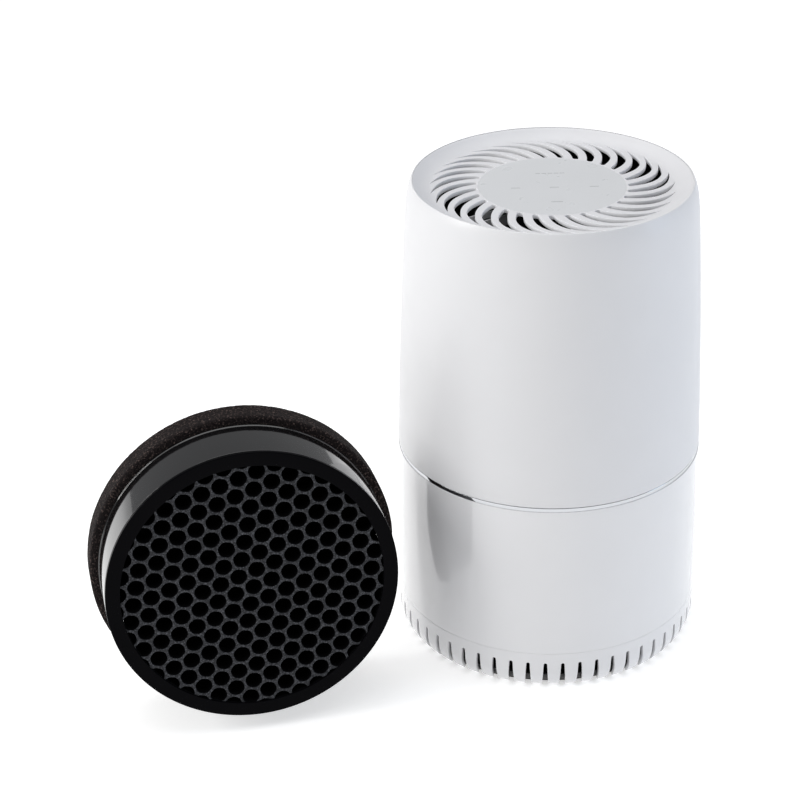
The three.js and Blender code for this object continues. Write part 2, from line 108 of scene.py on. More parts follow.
def body_radius(z):
    """The outer radius of the housings and base at a height."""
    if z < FOOT_ROUND:
        drop = 1 - z / FOOT_ROUND
        return FOOT_RADIUS + (BELLY_RADIUS - FOOT_RADIUS) * math.sqrt(1 - drop * drop)
    up = (z - FOOT_ROUND) / (HEIGHT - FOOT_ROUND)
    return BELLY_RADIUS - TAPER * up**2 - SHOULDER * up**50


GRILLE_EDGE = body_radius(HEIGHT) - LIP - 0.1 * MM


def filter_matrix():
    """Places the filter: its own face is at z = 0 looking along +Z, and its depth runs to -Z."""
    across = Vector((math.cos(FILTER_TURN), math.sin(FILTER_TURN), 0))
    level = Vector((math.sin(FILTER_TURN), -math.cos(FILTER_TURN), 0))
    outward = level * math.cos(FILTER_LEAN) + Vector((0, 0, math.sin(FILTER_LEAN)))
    upward = outward.cross(across)
    turn = Matrix((across, upward, outward)).transposed().to_4x4()
    height = FOAM_RADIUS * math.cos(FILTER_LEAN) + FILTER_DEPTH * math.sin(FILTER_LEAN)
    return Matrix.Translation((*FILTER_FRONT, height)) @ turn


# ---- camera, lights, floor ----


def softbox(name, place, aim, size, power, color=(1, 1, 1)):
    """A rectangular lamp that faces its aim."""
    lamp = bpy.data.lights.new(name, "AREA")
    lamp.shape = "RECTANGLE"
    lamp.size, lamp.size_y = size
    lamp.energy = power
    lamp.color = color
    item = bpy.data.objects.new(name, lamp)
    item.location = place
    item.rotation_euler = (Vector(aim) - Vector(place)).to_track_quat("-Z", "Y").to_euler()
    bpy.context.collection.objects.link(item)


def add_camera():
    data = bpy.data.cameras.new("camera")
    data.lens = 90
    data.sensor_width = 36
    data.clip_start = 0.05
    camera = bpy.data.objects.new("camera", data)
    tilt = Matrix.Rotation(math.radians(90) - CAMERA_PITCH, 4, "X")
    camera.matrix_world = Matrix.Translation(CAMERA_PLACE) @ tilt @ Matrix.Rotation(CAMERA_ROLL, 4, "Z")
    bpy.context.collection.objects.link(camera)
    bpy.context.scene.camera = camera


def add_lamps():
    softbox("key", (-1.75, -0.35, 1.05), (0, 0, 0.18), (0.8, 0.9), 17, (1, 0.995, 0.98))
    softbox("overhead", (0.0, 0.2, 2.2), (0, 0, 0), (2.6, 2.6), 32.5)
    softbox("cool", (1.7, -0.3, 0.6), (0, 0, 0.18), (0.5, 1.0), 5.6, (0.58, 0.75, 1))
    softbox("fill", (-1.2, -1.0, 1.5), (0, 0, 0.24), (0.8, 0.8), 2.2)


def add_world():
    """A dim even sky, with a lighter wall behind the floor for the camera."""
    world = bpy.data.worlds.new("studio")
    bpy.context.scene.world = world
    world.use_nodes = True
    nodes, links = world.node_tree.nodes, world.node_tree.links
    sky, wall = nodes["Background"], nodes.new("ShaderNodeBackground")
    for shader, strength in ((sky, 0.3), (wall, 0.8)):
        shader.inputs["Color"].default_value = (0.97, 0.98, 1, 1)
        shader.inputs["Strength"].default_value = strength
    choose = nodes.new("ShaderNodeMixShader")
    path = nodes.new("ShaderNodeLightPath")
    links.new(path.outputs["Is Camera Ray"], choose.inputs["Fac"])
    links.new(sky.outputs["Background"], choose.inputs[1])
    links.new(wall.outputs["Background"], choose.inputs[2])
    links.new(choose.outputs["Shader"], nodes["World Output"].inputs["Surface"])
    bpy.context.scene.view_settings.view_transform = "Standard"


# ---- mesh helpers ----


def add_object(name, mesh, sharp=35):
    piece = bpy.data.objects.new(name, mesh)
    bpy.context.collection.objects.link(piece)
    mesh.shade_smooth()
    mesh.set_sharp_from_angle(angle=math.radians(sharp))
    return piece


def from_lists(name, vertices, faces, sharp=35):
    """An object from vertices and faces, with repeated vertices merged and its faces turned out."""
    mesh = bpy.data.meshes.new(name)
    mesh.from_pydata(vertices, [], faces)
    work = bmesh.new()
    work.from_mesh(mesh)
    bmesh.ops.remove_doubles(work, verts=work.verts, dist=2e-7)
    bmesh.ops.recalc_face_normals(work, faces=work.faces)
    work.to_mesh(mesh)
    work.free()
    return add_object(name, mesh, sharp)


def fillet(corners, steps=4):
    """A closed outline from (x, z, radius) corners, each rounded by its radius."""
    outline = []
    count = len(corners)
    for i, (x, z, radius) in enumerate(corners):
        here = Vector((x, z))
        before = Vector(corners[i - 1][:2]) - here
        after = Vector(corners[(i + 1) % count][:2]) - here
        if radius == 0:
            outline.append((x, z))
            continue
        half = before.angle(after) / 2
        reach = min(radius / math.tan(half), 0.49 * before.length, 0.49 * after.length)
        start = here + before.normalized() * reach
        end = here + after.normalized() * reach
        for k in range(steps + 1):
            t = k / steps
            bend = start * (1 - t) ** 2 + here * (2 * t * (1 - t)) + end * t**2
            outline.append(tuple(bend))
    return outline


def lathe(name, outline, segments=192, sharp=35, matrix=None):
    """Turns a (radius, z) outline about Z. One that starts and ends at radius 0 makes a disc, and any
    other one closes on itself."""
    vertices, faces = [], []
    count = len(outline)
    on_axis = outline[0][0] == 0 and outline[-1][0] == 0
    for s in range(segments):
        a = TURN * s / segments
        vertices += [(r * math.cos(a), r * math.sin(a), z) for r, z in outline]
    for s in range(segments):
        here, there = s * count, (s + 1) % segments * count
        for k in range(count - 1 if on_axis else count):
            n = (k + 1) % count
            faces.append((here + k, there + k, there + n, here + n))
    piece = from_lists(name, vertices, faces, sharp)
    if matrix is not None:
        piece.data.transform(matrix)
    return piece


def apply_modifiers(piece, sharp=35):
    bpy.context.view_layer.update()
    depsgraph = bpy.context.evaluated_depsgraph_get()
    mesh = bpy.data.meshes.new_from_object(piece.evaluated_get(depsgraph))
    piece.modifiers.clear()
    piece.data = mesh
    mesh.shade_smooth()
    mesh.set_sharp_from_angle(angle=math.radians(sharp))


def thicken(piece, thickness, bevel, sharp=35, angle=40):
    """Gives a sheet its thickness, inwards from its faces, and rounds its edges."""
    solidify = piece.modifiers.new("solidify", "SOLIDIFY")
    solidify.thickness = thickness
    solidify.offset = -1
    solidify.use_even_offset = True
    soften(piece, bevel, angle)
    apply_modifiers(piece, sharp)


def soften(piece, width, angle=40, segments=2):
    """Rounds the edges sharper than an angle."""
    edge = piece.modifiers.new("bevel", "BEVEL")
    edge.width = width
    edge.segments = segments
    edge.limit_method = "ANGLE"
    edge.angle_limit = math.radians(angle)
    edge.harden_normals = False


def block(center, size, azimuth=0.0):
    """Vertices and faces of a box whose first side lies along the azimuth."""
    turn = Matrix.Rotation(azimuth, 3, "Z")
    corners = [
        turn @ Vector((center[0] + sx * size[0] / 2, center[1] + sy * size[1] / 2, 0))
        + Vector((0, 0, center[2] + sz * size[2] / 2))
        for sx in (-1, 1) for sy in (-1, 1) for sz in (-1, 1)
    ]
    faces = [(0, 1, 3, 2), (4, 6, 7, 5), (0, 4, 5, 1), (2, 3, 7, 6), (0, 2, 6, 4), (1, 5, 7, 3)]
    return corners, faces


def cut(piece, cutter):
    """Cuts one piece out of another and deletes the cutter."""
    boolean = piece.modifiers.new("cut", "BOOLEAN")
    boolean.object = cutter
    boolean.operation = "DIFFERENCE"
    boolean.solver = "EXACT"
    apply_modifiers(piece)
    bpy.data.objects.remove(cutter)


def join(name, pieces):
    """One piece from several, in the first one's place."""
    work = bmesh.new()
    for piece in pieces:
        work.from_mesh(piece.data)
    mesh = bpy.data.meshes.new(name)
    work.to_mesh(mesh)
    work.free()
    for piece in pieces:
        bpy.data.objects.remove(piece)
    return add_object(name, mesh)


def finish_piece(piece, body, node, material):
    """Gives a piece its material and the body it moves with, and hides the CAD node it stands for, if
    any.
    """
    piece.data.materials.clear()
    piece.data.materials.append(material)
    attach(piece, body)
    if node:
        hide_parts(node)
    return piece


# ---- materials ----


class Look:
    """A principled material whose nodes are added one call at a time."""

    def __init__(self, name, color, roughness, metallic=0.0, **uniform):
        self.material = bpy.data.materials.new(name)
        self.material.use_nodes = True
        self.nodes = self.material.node_tree.nodes
        self.links = self.material.node_tree.links
        self.shader = self.nodes["Principled BSDF"]
        self.shader.inputs["Base Color"].default_value = (*color, 1)
        self.shader.inputs["Roughness"].default_value = roughness
        self.shader.inputs["Metallic"].default_value = metallic
        for socket, value in uniform.items():
            self.shader.inputs[socket.replace("_", " ")].default_value = value
        self.place = self.nodes.new("ShaderNodeTexCoord")
        self.color = color

    def noise(self, size, detail=2.0, roughness=0.5):
        """Noise with features of a size in metres."""
        texture = self.nodes.new("ShaderNodeTexNoise")
        texture.inputs["Scale"].default_value = 1 / size
        texture.inputs["Detail"].default_value = detail
        texture.inputs["Roughness"].default_value = roughness
        self.links.new(self.place.outputs["Object"], texture.inputs["Vector"])
        return texture.outputs["Fac"]

    def cells(self, size, feature="F1"):
        texture = self.nodes.new("ShaderNodeTexVoronoi")
        texture.feature = feature
        texture.inputs["Scale"].default_value = 1 / size
        self.links.new(self.place.outputs["Object"], texture.inputs["Vector"])
        return texture.outputs["Distance"]

    def between(self, source, low, high, from_low=0.3, from_high=0.7):
        span = self.nodes.new("ShaderNodeMapRange")
        span.inputs["From Min"].default_value = from_low
        span.inputs["From Max"].default_value = from_high
        span.inputs["To Min"].default_value = low
        span.inputs["To Max"].default_value = high
        self.links.new(source, span.inputs["Value"])
        return span.outputs["Result"]

    def tint(self, source, other, low=0.3, high=0.7):
        """Blends the base colour towards another one by a pattern."""
        mix = self.nodes.new("ShaderNodeMix")
        mix.data_type = "RGBA"
        mix.inputs["A"].default_value = (*self.color, 1)
        mix.inputs["B"].default_value = (*other, 1)
        self.links.new(self.between(source, 0, 1, low, high), mix.inputs["Factor"])
        self.links.new(mix.outputs["Result"], self.shader.inputs["Base Color"])
        return self

    def rough(self, source, low, high):
        self.links.new(self.between(source, low, high), self.shader.inputs["Roughness"])
        return self

    def bump(self, source, depth, strength=1.0):
        node = self.nodes.new("ShaderNodeBump")
        node.inputs["Distance"].default_value = depth
        node.inputs["Strength"].default_value = strength
        self.links.new(source, node.inputs["Height"])
        last = self.shader.inputs["Normal"]
        if last.is_linked:
            self.links.new(last.links[0].from_socket, node.inputs["Normal"])
            self.links.remove(last.links[0])
        self.links.new(node.outputs["Normal"], last)
        return self


def gloss_plastic(name, color, roughness=0.2, peel=0.000006, coat=0.6):
    """Injection-moulded gloss: a faint orange peel and slightly uneven polish."""
    look_of = Look(name, color, roughness, IOR=1.5, Coat_Weight=coat, Coat_Roughness=0.035)
    shade = tuple(c * 0.985 for c in color)
    look_of.tint(look_of.noise(0.03, 3), shade)
    look_of.rough(look_of.noise(0.012, 4), roughness * 0.88, roughness * 1.15)
    if peel:
        look_of.bump(look_of.noise(0.0022, 3), peel)
    return look_of.material


def satin_plastic(name, color, roughness=0.42, grain=0.00002):
    """Moulded plastic with a fine even grain."""
    look_of = Look(name, color, roughness, IOR=1.48)
    shade = tuple(c * 0.96 for c in color)
    look_of.tint(look_of.noise(0.03, 4), shade)
    look_of.rough(look_of.noise(0.006, 4), roughness * 0.9, roughness * 1.12)
    look_of.bump(look_of.noise(0.0004, 4, 0.7), grain)
    return look_of.material


def metal(name, color, roughness, scratches=0.00001):
    """Metal with fine scratches and an uneven polish."""
    look_of = Look(name, color, roughness, 1.0)
    look_of.rough(look_of.noise(0.004, 5), roughness * 0.8, roughness * 1.3)
    look_of.bump(look_of.noise(0.0003, 3), scratches)
    return look_of.material


def foam():
    """Open-cell foam whose torn edges catch the light as brown specks."""
    look_of = Look("foam", (0.009, 0.0065, 0.0068), 0.9, Specular_IOR_Level=0.15)
    look_of.tint(look_of.noise(0.0015, 4, 0.85), (0.17, 0.125, 0.112), 0.55, 0.67)
    look_of.bump(look_of.cells(0.0012), 0.0006, 0.9)
    look_of.bump(look_of.noise(0.0006, 5, 0.75), 0.0004, 0.8)
    return look_of.material


def carbon():
    """The honeycomb's walls: dark, rough and specked with lighter flecks."""
    look_of = Look("carbon", (0.014, 0.0145, 0.017), 0.6, Specular_IOR_Level=0.2)
    look_of.tint(look_of.noise(0.0012, 4, 0.8), (0.10, 0.103, 0.115), 0.49, 0.66)
    look_of.rough(look_of.noise(0.004, 4), 0.5, 0.75)
    look_of.bump(look_of.noise(0.0007, 4, 0.7), 0.00012)
    return look_of.material


def granules_and_cell_shade():
    """Loose activated carbon at the bottom of the cells, and painted shade on the cells' inner walls.
    """
    look_of = Look("granules_and_cell_shade", (0.0012, 0.0012, 0.0018), 0.8, Specular_IOR_Level=0.08)
    look_of.tint(look_of.noise(0.002, 4), (0.004, 0.004, 0.005), 0.5, 0.75)
    look_of.bump(look_of.cells(0.0016), 0.0009, 0.8)
    return look_of.material


def rim_black():
    """The moulded face rim: black, with a low sheen that only its edges pick up."""
    look_of = Look("rim_black", (0.0013, 0.0012, 0.0018), 0.2, Specular_IOR_Level=0.03)
    look_of.rough(look_of.noise(0.004, 4), 0.17, 0.24)
    look_of.bump(look_of.noise(0.0006, 4, 0.6), 0.000015)
    return look_of.material


def painted_inside_shade():
    """Painted shade: a near-black, rough finish for the inside of a housing, standing in for the dark
    there.
    """
    look_of = Look("painted_inside_shade", (0.02, 0.02, 0.021), 0.7, Specular_IOR_Level=0.2)
    look_of.bump(look_of.noise(0.0005, 4, 0.6), 0.00002)
    return look_of.material


def paper():
    """Filter paper, slightly blotched."""
    look_of = Look("filter_paper", (0.78, 0.77, 0.73), 0.9, Sheen_Weight=0.15)
    look_of.tint(look_of.noise(0.004, 5, 0.7), (0.70, 0.69, 0.65), 0.4, 0.75)
    look_of.bump(look_of.noise(0.0005, 5, 0.75), 0.00008)
    return look_of.material


def board():
    """A green circuit board with faint lighter areas."""
    look_of = Look("circuit_board", (0.012, 0.10, 0.035), 0.4)
    look_of.tint(look_of.cells(0.004, "F2"), (0.02, 0.15, 0.05), 0.4, 0.6)
    look_of.bump(look_of.cells(0.0025), 0.00005)
    return look_of.material


def marks():
    """The panel's printed symbols."""
    look_of = Look("panel_marks", (0.38, 0.385, 0.395), 0.4)
    look_of.rough(look_of.noise(0.002, 3), 0.36, 0.46)
    return look_of.material


def pale_floor():
    """A matt floor that gives off a little light of its own."""
    look_of = Look("floor", (0.74, 0.74, 0.74), 0.7, Specular_IOR_Level=0.1)
    look_of.tint(look_of.noise(0.4, 2), (0.73, 0.73, 0.73))
    look_of.shader.inputs["Emission Color"].default_value = (1, 1, 1, 1)
    look_of.shader.inputs["Emission Strength"].default_value = 0.55
    return look_of.material


WHITE = (0.735, 0.735, 0.75)

# The record's material slots, then the finishes that only some faces or pieces have, painted light and
# shade among them.
LOOKS = {
    "gloss_white": gloss_plastic("gloss_white", WHITE, 0.2, coat=1.0),
    "satin_white": satin_plastic("satin_white", (0.70, 0.70, 0.72), 0.36),
    "panel_grey": gloss_plastic("panel_grey", (0.64, 0.65, 0.665), 0.3, 0, 0.2),
    "bright_trim": metal("bright_trim", (0.57, 0.58, 0.60), 0.07, 0.000002),
    "dark_plastic": satin_plastic("dark_plastic", (0.010, 0.010, 0.011), 0.5),
    "gloss_black": gloss_plastic("gloss_black", (0.004, 0.004, 0.0045), 0.1, coat=0.7),
    "carbon_black": carbon(),
    "foam": foam(),
    "filter_paper": paper(),
    "circuit_board": board(),
    "steel": metal("steel", (0.56, 0.57, 0.58), 0.3),
    "motor_steel": metal("motor_steel", (0.36, 0.37, 0.38), 0.4),
    "rubber": satin_plastic("rubber", (0.02, 0.02, 0.021), 0.8, 0.00004),
    "wire": satin_plastic("wire", (0.05, 0.05, 0.055), 0.55),
    "upper_gloss": gloss_plastic("upper_gloss", WHITE, 0.42, coat=0.08),
    # Painted light: the grille's slot walls, lighter than the grille's own white as if lit from above.
    "painted_lit_slot_wall": satin_plastic("painted_lit_slot_wall", (0.95, 0.95, 0.97), 0.5),
    # Painted shade: near-black for the inward faces of the housings and the foot.
    "painted_inside_shade": painted_inside_shade(),
    "rim_black": rim_black(),
    # Granule black, also used as painted shade on the honeycomb's inner walls.
    "granules_and_cell_shade": granules_and_cell_shade(),
    "panel_marks": marks(),
    "floor": pale_floor(),
}


def build_floor():
    """A plain floor just under the object, wide enough to fill a level view."""
    mesh = bpy.data.meshes.new("floor")
    corners = [(x * FLOOR_HALF, y * FLOOR_HALF, 0) for x, y in ((-1, -1), (1, -1), (1, 1), (-1, 1))]
    mesh.from_pydata(corners, [], [(0, 1, 2, 3)])
    mesh.materials.append(LOOKS["floor"])
    floor = bpy.data.objects.new("floor", mesh)
    floor.location.z = -0.05 * MM
    bpy.context.collection.objects.link(floor)


# ---- housings ----


def levels(low, high, count):
    """Evenly spaced heights from low to high."""
    return [low + (high - low) * i / count for i in range(count + 1)]


def shell(name, low, high, top_round, bottom_round, lip=0.0):
    """A housing shell: the body's outline outside, an even wall, and rounded ends. A lip is the
    wall left above a rebate in the top."""
    corner = 0.3 * MM
    inside_low = (body_radius(low) - WALL, low, corner)
    outer = [(body_radius(z), z, 0) for z in levels(low + 1.5 * MM, high - 1 * MM, 90)]
    rebate = high - 6.5 * MM if lip else high
    inner = [(r - WALL, z, 0) for r, z, _ in reversed(outer[::4]) if z < rebate]
    inside_high = [(body_radius(rebate) - WALL, rebate, corner)]
    if lip:
        inner_lip = body_radius(high) - lip
        inside_high = [(inner_lip, high, 0.2 * MM), (inner_lip, rebate, 0), *inside_high]
    corners = [inside_low, (body_radius(low), low, bottom_round), *outer,
               (body_radius(high), high, top_round), *inside_high, *inner]
    return lathe(name, fillet(corners, 5), 256, 30)


def paint_inside_shade(piece):
    """Gives the faces that look towards the axis the painted inside shade."""
    piece.data.materials.append(LOOKS["painted_inside_shade"])
    for face in piece.data.polygons:
        out = Vector((face.center.x, face.center.y, 0)).normalized()
        if face.normal.dot(out) < -0.5 and face.center.z < HEIGHT - 2 * MM:
            face.material_index = 1


def build_upper_housing():
    piece = shell("upper_housing_shell", SEAM_Z, HEIGHT, 0.4 * MM, 0.3 * MM, LIP)
    low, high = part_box("power_inlet")
    size = (high.x - low.x + 2 * GAP, 30 * MM, high.z - low.z + 2 * GAP)
    cutter = from_lists("inlet_cutter", *block((low + high) / 2, size))
    soften(cutter, 1.2 * MM, 40, 3)
    apply_modifiers(cutter)
    cut(piece, cutter)
    finish_piece(piece, "housing", "upper_housing", LOOKS["upper_gloss"])
    # The inward faces get painted shade.
    paint_inside_shade(piece)


def build_lower_housing():
    """The lower shell, with the ledge that the filter seat rests on and a pair of ribs by each key."""
    low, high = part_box("lower_housing")
    piece = shell("lower_housing_shell", low.z, high.z, 0.2 * MM, 0.1 * MM)
    rib_z, rib_size, rib_spread = 35 * MM, (4 * MM, 2 * MM, 9 * MM), 4
    rib_place = (body_radius(rib_z) - WALL - 0.9 * MM, 0, rib_z)
    ribs = [from_lists("rib", *block(rib_place, rib_size, math.radians(azimuth + side)))
            for azimuth in LOCK_KEYS for side in (-rib_spread, rib_spread)]
    ledge_inner, ledge_top, corner = 99.4 * MM, 105.7 * MM, 0.4 * MM
    ledge_low = ledge_top - 2.7 * MM
    wall = body_radius(ledge_top) - WALL + 0.8 * MM
    ledge = lathe("ledge", fillet([
        (ledge_inner, ledge_low, corner), (wall, ledge_low, 0),
        (wall, ledge_top, 0), (ledge_inner, ledge_top, corner)]), 128)
    piece = join("lower_housing_shell", [piece, ledge, *ribs])
    finish_piece(piece, "housing", "lower_housing", LOOKS["gloss_white"])


def build_trim_ring():
    """The bright band that fills the seam."""
    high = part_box("trim_ring")[1]
    outer, low_z = high.x, LOWER_TOP + 0.05 * MM
    inner = outer - 5 * MM
    piece = lathe("trim_ring_band", fillet([
        (inner, low_z, 0), (outer, low_z, 0.1 * MM), (outer, high.z, 0.25 * MM),
        (inner, high.z, 0)]), 256, 30)
    finish_piece(piece, "housing", "trim_ring", LOOKS["bright_trim"])


# ---- base ----


def pierced_band(name, rows, count, first, columns=8):
    """A band of (radius, z, half slot width, closed) rows with slots at even azimuths. A row that
    is closed fills the slot up to the next row."""
    period = TURN / count
    width = columns + 1
    size = len(rows) * width
    vertices, faces = [], []
    for i in range(count):
        slot = first + i * period
        for radius, z, half, _ in rows:
            edge = half / radius
            for k in range(width):
                a = slot + edge + (period - 2 * edge) * k / columns
                vertices.append((radius * math.cos(a), radius * math.sin(a), z))
        before = (i - 1) % count * size
        for j in range(len(rows) - 1):
            low = i * size + j * width
            high = low + width
            faces += [(low + k, low + k + 1, high + k + 1, high + k) for k in range(columns)]
            if rows[j][3]:
                last = before + j * width + columns
                faces.append((last, low, high, last + width))
    return from_lists(name, vertices, faces)


def comb_rows():
    """The foot's slots: open below, rounded at the top, with the teeth's corners rounded off."""
    bottom_half, top_half = 2.2 * MM, 1.15 * MM
    corner = 1.6 * MM
    arch_z = FOOT_SLOT_TOP - top_half
    heights = [FOOT_ROUND * (1 - math.cos(math.radians(a))) for a in range(0, 90, 6)]
    heights += levels(FOOT_ROUND, arch_z, 3)
    rows = []
    for z in heights:
        half = bottom_half + (top_half - bottom_half) * z / arch_z
        if z < corner:
            half += corner - math.sqrt(corner**2 - (corner - z) ** 2)
        rows.append((body_radius(z), z, half, False))
    for a in (20, 40, 60, 75, 90):
        z = arch_z + top_half * math.sin(math.radians(a))
        half = 0.0 if a == 90 else top_half * math.cos(math.radians(a))
        rows.append((body_radius(z), z, half, False))
    top = levels(FOOT_SLOT_TOP + 1 * MM, LOWER_BOTTOM - 0.03 * MM, 4)
    return rows + [(body_radius(z), z, 0.0, False) for z in top]


def retainer(radius, z, azimuth, size):
    """A small block with soft edges, at a radius and an azimuth in degrees."""
    piece = from_lists("retainer", *block((radius, 0, z), size, math.radians(azimuth)))
    soften(piece, 0.3 * MM)
    apply_modifiers(piece)
    return piece


def build_base_cup():
    """The slotted foot, with a ledge under the intake cage and lock ring, and tabs over the ring."""
    comb = pierced_band("comb", comb_rows(), FOOT_SLOTS, FOOT_SLOT_START)
    thicken(comb, 2.6 * MM, 0.2 * MM)
    wall = body_radius(BASE_TOP) - 2.4 * MM
    ledge_inner, ledge_low, corner = 88.4 * MM, 21.8 * MM, 0.4 * MM
    ledge_top = ledge_low + 2.5 * MM
    ledge = lathe("ledge", fillet([
        (ledge_inner, ledge_low, corner), (wall, ledge_low, 0),
        (wall, ledge_top, 0), (ledge_inner, ledge_top, corner)]), 128)
    tab_place = (wall - 2.4 * MM, BASE_TOP - 0.9 * MM)
    tabs = [retainer(*tab_place, azimuth, (6 * MM, 16 * MM, 1.4 * MM)) for azimuth in (90, 210, 330)]
    piece = join("base_cup_comb", [comb, ledge, *tabs])
    finish_piece(piece, "base", "base_cup", LOOKS["gloss_white"])
    # The inward faces get painted shade.
    paint_inside_shade(piece)


def behind_foot(angle, depth):
    """A point behind the foot's rounding, by its angle up the rounding and its depth."""
    swing = math.radians(angle)
    out, rise = BELLY_RADIUS - FOOT_RADIUS, FOOT_ROUND
    along = Vector((out * math.cos(swing), rise * math.sin(swing))).normalized()
    return (FOOT_RADIUS + out * math.sin(swing) - depth * along.y,
            rise * (1 - math.cos(swing)) + depth * along.x)


def drum(circle, azimuth, radius, high):
    """A cutter for a round pocket in the underside, at a place on a circle."""
    low = -1 * MM
    piece = lathe("drum", [(0, low), (radius, low), (radius, high), (0, high)], 48)
    place = (circle * math.cos(azimuth), circle * math.sin(azimuth), 0)
    piece.data.transform(Matrix.Translation(place))
    return piece


def build_base_plate():
    """A dark tray whose rim turns up behind the slots, with pockets for its pads and screws."""
    low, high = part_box("base_plate")
    radius = high.x
    foot_edge = (FOOT_RADIUS - 0.5 * MM, low.z + 1.1 * MM, 0.4 * MM)
    corners = [(0, low.z, 0), (radius - 8 * MM, low.z, 0.5 * MM), foot_edge]
    corners += [(*behind_foot(angle, 3.1 * MM), 0) for angle in (8, 20, 32, 44, 56, 66)]
    corners += [(*behind_foot(angle, 4.5 * MM), 0) for angle in (66, 56, 44, 32, 20)]
    corners += [(radius, high.z, 0.6 * MM), (0, high.z, 0)]
    piece = lathe("base_plate_disc", fillet(corners), 192, 30)
    for quarter in range(4):
        screw = TURN * quarter / 4
        pad = screw + TURN / 8
        cut(piece, drum(70 * MM, pad, 7.3 * MM, 1.7 * MM))
        cut(piece, drum(78 * MM, screw, 4.2 * MM, 2.2 * MM))
    finish_piece(piece, "base", "base_plate", LOOKS["dark_plastic"])


def build_intake_cage():
    """A wall of sixteen rounded windows between two flanges."""
    low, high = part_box("intake_cage")
    windows, radius, half, corner = 16, 88 * MM, 6 * MM, 1.5 * MM
    bottom, top = 8 * MM, 20 * MM
    rows = [(radius, z, half - corner, True) for z in (low.z, bottom - 0.5 * MM)]
    for a in (0, 30, 60, 90):
        rise = corner * (1 - math.cos(math.radians(a)))
        grow = corner * math.sin(math.radians(a))
        rows.append((radius, bottom + rise, half - corner + grow, False))
    for _, z, width, _ in reversed(rows[2:]):
        rows.append((radius, top + bottom - z, width, False))
    rows[-1] = (*rows[-1][:3], True)
    rows.append((radius, high.z - 1 * MM, half - corner, True))
    band = pierced_band("band", rows, windows, TURN / windows / 4, 10)
    thicken(band, 2 * MM, 0.3 * MM)
    edge = 0.4 * MM
    top_inner, top_low = radius - 2 * MM, high.z - 1.8 * MM
    flange_top = lathe("flange", fillet([
        (top_inner, top_low, 0), (high.x, top_low, edge), (high.x, high.z, edge),
        (top_inner, high.z, edge)]), 128)
    low_inner, low_outer, low_top = 72 * MM, radius - 0.5 * MM, low.z + 2.5 * MM
    flange_low = lathe("flange", fillet([
        (low_inner, low.z, edge), (low_outer, low.z, 0), (low_outer, low_top, 0),
        (low_inner, low_top, edge)]), 128)
    piece = join("intake_cage_wall", [band, flange_top, flange_low])
    finish_piece(piece, "base", "intake_cage", LOOKS["dark_plastic"])


def build_lock_ring():
    """A flat ring with three keys, and a post that works the interlock."""
    low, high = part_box("lock_ring")
    inner, outer, top = 94 * MM, high.x, low.z + 2.4 * MM
    band = lathe("band", fillet([
        (inner, low.z, 0.3 * MM), (outer, low.z, 0.3 * MM), (outer, top, 0.4 * MM),
        (inner, top, 0.4 * MM)]), 160)
    keys = [retainer(outer - 1.5 * MM, low.z + 5.5 * MM, azimuth, (2.4 * MM, 8 * MM, 11 * MM))
            for azimuth in LOCK_KEYS]
    post = retainer(97.6 * MM, low.z + 2.9 * MM, 120, (5 * MM, 6 * MM, 5.6 * MM))
    piece = join("lock_ring_band", [band, *keys, post])
    finish_piece(piece, "lock", "lock_ring", LOOKS["dark_plastic"])


# ---- top grille ----


def slot_side(side, steps=80):
    """A slot's side, bent from its start to the tip, as (radius, azimuth) points."""
    start, towards = side
    points = []
    for i in range(steps + 1):
        t = i / steps
        p = start * (1 - t) ** 2 + towards * (2 * t * (1 - t)) + SLOT_TIP * t**2
        points.append((p.length, math.atan2(p.y, p.x)))
    return points


def azimuth_at(side, r):
    """The azimuth where a slot's side crosses a radius."""
    for (r0, a0), (r1, a1) in zip(side, side[1:]):
        if r0 <= r <= r1 and r1 > r0:
            return a0 + (a1 - a0) * (r - r0) / (r1 - r0)
    return side[0][1] if r < side[0][0] else side[-1][1]


def grille_height(r):
    """The dish: flat over the slots, curling up to the rim."""
    if r <= GRILLE_RISE_FROM:
        return GRILLE_Z
    u = (r - GRILLE_RISE_FROM) / (GRILLE_EDGE - GRILLE_RISE_FROM)
    return GRILLE_Z + (GRILLE_EDGE_Z - GRILLE_Z) * u**1.7


def grille_rows():
    """Radii in millimetres, each with the azimuths of a slot's far and near side there."""
    far, near = slot_side(SLOT_FAR_SIDE), slot_side(SLOT_NEAR_SIDE)
    tip = math.atan2(SLOT_TIP.y, SLOT_TIP.x)
    high, low = azimuth_at(far, SLOT_NOSE), azimuth_at(near, SLOT_NOSE)
    middle = (high + low) / 2
    rows = [(r, middle, middle) for r in (PANEL_RADIUS / MM + 0.4, SLOT_FIRST - 0.4)]
    nose_rows, slot_rows = 8, 34
    for i in range(nose_rows):
        swing = math.radians(90 * i / nose_rows)
        half = (high - low) / 2 * math.sin(swing)
        r = SLOT_NOSE - (SLOT_NOSE - SLOT_FIRST) * math.cos(swing)
        rows.append((r, middle + half, middle - half))
    for i in range(slot_rows):
        r = SLOT_NOSE + (SLOT_TIP.length - SLOT_NOSE) * (1 - (1 - i / slot_rows) ** 1.6)
        rows.append((r, azimuth_at(far, r), azimuth_at(near, r)))
    outer = (80.4, 81.4, 82.8, 84.2, 85.6, 87, 88.2, 89.2, GRILLE_EDGE / MM)
    return rows + [(r, tip, tip) for r in (SLOT_TIP.length, *outer)]


